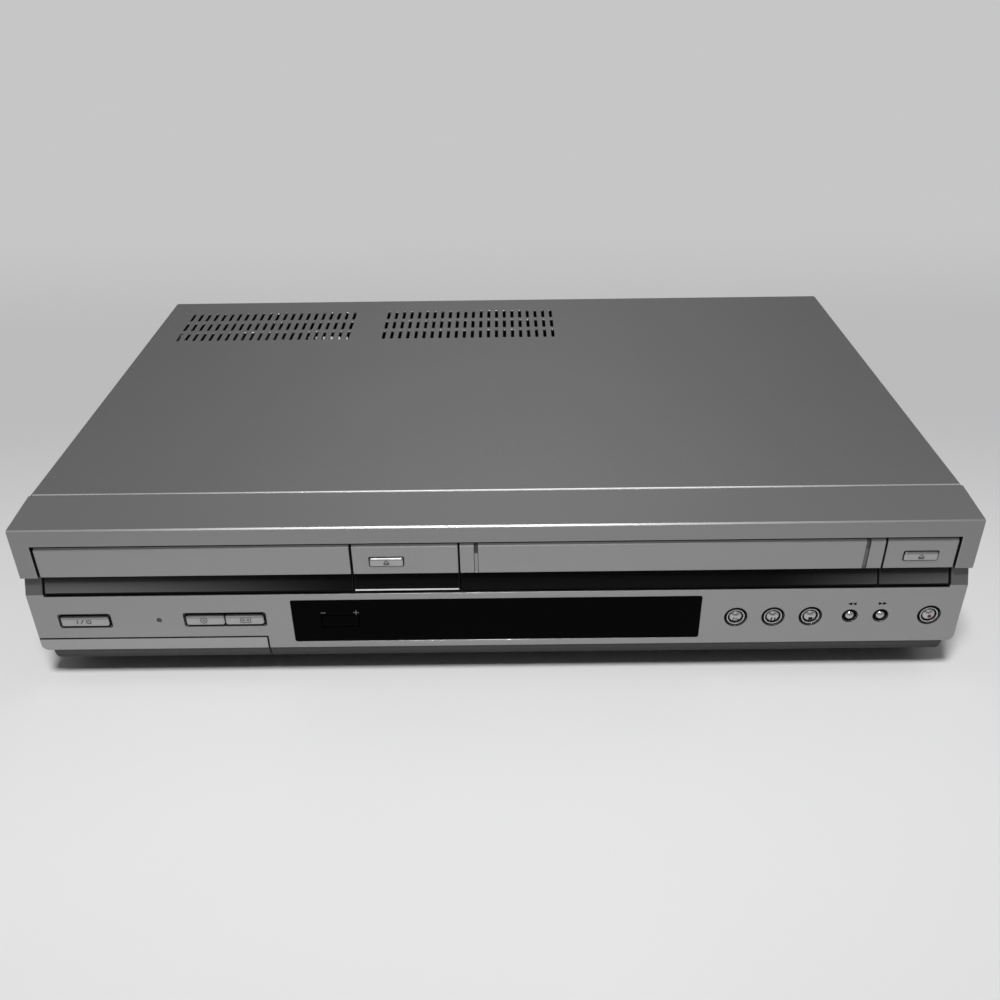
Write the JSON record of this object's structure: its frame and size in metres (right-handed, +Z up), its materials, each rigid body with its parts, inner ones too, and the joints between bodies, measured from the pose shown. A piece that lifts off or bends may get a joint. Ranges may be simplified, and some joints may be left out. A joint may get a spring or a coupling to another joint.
{
  "type": "disc and cassette player",
  "caption": "Low silver player for discs and video cassettes, with a sliding disc tray, a cassette flap, keys and a display.",
  "frame": {"origin": "on the shelf, under the middle of the whole outline", "axes": "+X to the right seen from the front, +Y to the back, +Z up"},
  "size_m": [0.4334, 0.2866, 0.088],
  "materials": {
    "cover_paint": "silver-grey textured paint on sheet steel",
    "fascia_silver": "silver paint on moulded plastic, glossy in the strip",
    "key_silver": "bright silver paint on moulded plastic",
    "window_black": "smoked black, polished",
    "tube_glass": "dark glass",
    "lamp_red": "dark red lens",
    "bare_steel": "zinc-plated sheet",
    "polished_steel": "ground and polished",
    "screw_steel": "plated",
    "drum_alloy": "turned",
    "foot_rubber": "matt black",
    "belt_rubber": "black",
    "roller_rubber": "ground black",
    "black_plastic": "moulded",
    "grey_plastic": "moulded acetal",
    "board_brown": "paper laminate with solder resist",
    "coil_yellow": "tape-wrapped core",
    "ribbon_white": "flat flexible cable"
  },
  "bodies": {
    "case": {"bottom_chassis": "bare_steel", "carriage_frame": "bare_steel", "case_screws": "screw_steel", "centre_block": "fascia_silver", "clamp_bridge": "bare_steel", "control_board": "board_brown", "deck_plate": "bare_steel", "display_tube": "tube_glass", "display_window": "window_black", "drive_belt": "belt_rubber", "feet": "foot_rubber", "flap_spring": "screw_steel", "front_av_jacks": "black_plastic", "front_panel": "fascia_silver", "indicator_lens": "lamp_red", "loader_frame": "black_plastic", "lower_drum": "drum_alloy", "main_board": "board_brown", "mains_inlet": "black_plastic", "power_board": "board_brown", "power_transformer": "coil_yellow", "rear_av_jacks": "black_plastic", "rear_panel": "bare_steel", "ribbon_cables": "ribbon_white", "right_block": "fascia_silver", "top_cover": "cover_paint", "tray_motor": "screw_steel", "tuner": "bare_steel"},
    "tray": {"disc_tray": "black_plastic", "tray_front": "fascia_silver"},
    "tray_gear": {"tray_gear": "grey_plastic"},
    "pulley_gear": {"pulley_gear": "grey_plastic"},
    "pickup_unit": {"traverse_chassis": "bare_steel", "guide_rods": "polished_steel"},
    "pickup": {"pickup": "black_plastic"},
    "turntable": {"turntable": "grey_plastic"},
    "clamper": {"clamper": "grey_plastic"},
    "cassette_door": {"cassette_door": "fascia_silver"},
    "jack_door": {"jack_door": "fascia_silver"},
    "carriage_slider": {"carriage_slider": "bare_steel"},
    "cassette_holder": {"cassette_holder": "bare_steel"},
    "upper_drum": {"upper_drum": "drum_alloy"},
    "capstan": {"capstan": "polished_steel"},
    "pinch_arm": {"pinch_arm": "bare_steel"},
    "pinch_roller": {"pinch_roller": "roller_rubber"},
    "supply_reel": {"supply_reel": "grey_plastic"},
    "takeup_reel": {"takeup_reel": "grey_plastic"},
    "tape_guides": {"tape_guides": "polished_steel"},
    "channel_rocker": {"channel_rocker": "window_black"},
    "power_button": {"power_button": "key_silver"},
    "select_disc_button": {"select_disc_button": "key_silver"},
    "select_tape_button": {"select_tape_button": "key_silver"},
    "play_button": {"play_button": "key_silver"},
    "pause_button": {"pause_button": "key_silver"},
    "stop_button": {"stop_button": "key_silver"},
    "rewind_button": {"rewind_button": "key_silver"},
    "forward_button": {"forward_button": "key_silver"},
    "record_button": {"record_button": "key_silver"},
    "disc_eject_button": {"disc_eject_button": "key_silver"},
    "tape_eject_button": {"tape_eject_button": "key_silver"}
  },
  "joints": [
    {"name": "tray_slide", "type": "slide", "parent": "case", "child": "tray", "axis": [0, -1, 0], "range_m": [0, 0.132]},
    {"name": "tray_gear_spin", "type": "hinge", "parent": "case", "child": "tray_gear", "pos_m": [-0.1823, -0.10745, 0.059], "axis": [0, 0, 1], "range_deg": [0, 903]},
    {"name": "pulley_gear_spin", "type": "hinge", "parent": "case", "child": "pulley_gear", "pos_m": [-0.1639, -0.10745, 0.055], "axis": [0, 0, 1], "range_deg": [-2554, 0]},
    {"name": "unit_tilt", "type": "hinge", "parent": "case", "child": "pickup_unit", "pos_m": [-0.1357, 0.02155, 0.056], "axis": [1, 0, 0], "range_deg": [0, 4]},
    {"name": "pickup_slide", "type": "slide", "parent": "pickup_unit", "child": "pickup", "axis": [0, 1, 0], "range_m": [0, 0.034]},
    {"name": "turntable_spin", "type": "hinge", "parent": "pickup_unit", "child": "turntable", "pos_m": [-0.1357, -0.06445, 0.062], "axis": [0, 0, 1], "continuous": true},
    {"name": "clamper_spin", "type": "hinge", "parent": "case", "child": "clamper", "pos_m": [-0.1357, -0.06445, 0.07], "axis": [0, 0, 1], "continuous": true},
    {"name": "cassette_door_swing", "type": "hinge", "parent": "case", "child": "cassette_door", "pos_m": [0.07895, -0.13805, 0.0805], "axis": [1, 0, 0], "range_deg": [0, 86], "stiffness_Nm_per_rad": 0.01, "springref_deg": -34.38},
    {"name": "jack_door_swing", "type": "hinge", "parent": "case", "child": "jack_door", "pos_m": [-0.16, -0.13295, 0.0134], "axis": [1, 0, 0], "range_deg": [0, 90]},
    {"name": "carriage_slide", "type": "slide", "parent": "case", "child": "carriage_slider", "axis": [0, 1, 0], "range_m": [0, 0.056]},
    {"name": "holder_drop", "type": "slide", "parent": "carriage_slider", "child": "cassette_holder", "axis": [0, 0, -1], "range_m": [0, 0.022]},
    {"name": "drum_spin", "type": "hinge", "parent": "case", "child": "upper_drum", "pos_m": [0.07895, 0.04355, 0.026], "axis": [-0.1045, 0, 0.9945], "continuous": true},
    {"name": "capstan_spin", "type": "hinge", "parent": "case", "child": "capstan", "pos_m": [0.13495, 0.01955, 0.03], "axis": [0, 0, 1], "continuous": true},
    {"name": "pinch_arm_swing", "type": "hinge", "parent": "case", "child": "pinch_arm", "pos_m": [0.15495, 0.00755, 0.03], "axis": [0, 0, 1], "range_deg": [0, 35]},
    {"name": "pinch_roller_spin", "type": "hinge", "parent": "pinch_arm", "child": "pinch_roller", "pos_m": [0.15392, 0.03035, 0.04], "axis": [0, 0, 1], "continuous": true},
    {"name": "supply_reel_spin", "type": "hinge", "parent": "case", "child": "supply_reel", "pos_m": [0.03095, -0.05645, 0.03], "axis": [0, 0, 1], "continuous": true},
    {"name": "takeup_reel_spin", "type": "hinge", "parent": "case", "child": "takeup_reel", "pos_m": [0.12695, -0.05645, 0.03], "axis": [0, 0, 1], "continuous": true},
    {"name": "tape_guides_slide", "type": "slide", "parent": "case", "child": "tape_guides", "axis": [0, 1, 0], "range_m": [0, 0.04]},
    {"name": "channel_rocker_tilt", "type": "hinge", "parent": "case", "child": "channel_rocker", "pos_m": [-0.0725, -0.13645, 0.034], "axis": [0, 0, 1], "range_deg": [-3, 3], "stiffness_Nm_per_rad": 0.02},
    {"name": "power_press", "type": "slide", "parent": "case", "child": "power_button", "axis": [0, 1, 0], "range_m": [0, 0.0009], "stiffness_N_per_m": 400},
    {"name": "select_disc_press", "type": "slide", "parent": "case", "child": "select_disc_button", "axis": [0, 1, 0], "range_m": [0, 0.0009], "stiffness_N_per_m": 400},
    {"name": "select_tape_press", "type": "slide", "parent": "case", "child": "select_tape_button", "axis": [0, 1, 0], "range_m": [0, 0.0009], "stiffness_N_per_m": 400},
    {"name": "play_press", "type": "slide", "parent": "case", "child": "play_button", "axis": [0, 1, 0], "range_m": [0, 0.0009], "stiffness_N_per_m": 400},
    {"name": "pause_press", "type": "slide", "parent": "case", "child": "pause_button", "axis": [0, 1, 0], "range_m": [0, 0.0009], "stiffness_N_per_m": 400},
    {"name": "stop_press", "type": "slide", "parent": "case", "child": "stop_button", "axis": [0, 1, 0], "range_m": [0, 0.0009], "stiffness_N_per_m": 400},
    {"name": "rewind_press", "type": "slide", "parent": "case", "child": "rewind_button", "axis": [0, 1, 0], "range_m": [0, 0.0009], "stiffness_N_per_m": 400},
    {"name": "forward_press", "type": "slide", "parent": "case", "child": "forward_button", "axis": [0, 1, 0], "range_m": [0, 0.0009], "stiffness_N_per_m": 400},
    {"name": "record_press", "type": "slide", "parent": "case", "child": "record_button", "axis": [0, 1, 0], "range_m": [0, 0.0009], "stiffness_N_per_m": 400},
    {"name": "disc_eject_press", "type": "slide", "parent": "case", "child": "disc_eject_button", "axis": [0, 1, 0], "range_m": [0, 0.0009], "stiffness_N_per_m": 400},
    {"name": "tape_eject_press", "type": "slide", "parent": "case", "child": "tape_eject_button", "axis": [0, 1, 0], "range_m": [0, 0.0009], "stiffness_N_per_m": 400}
  ],
  "couplings": [
    {"joint": "tray_gear_spin", "follows": "tray_slide", "rad_per_m": 119.05},
    {"joint": "pulley_gear_spin", "follows": "tray_slide", "rad_per_m": -337.3}
  ]
}
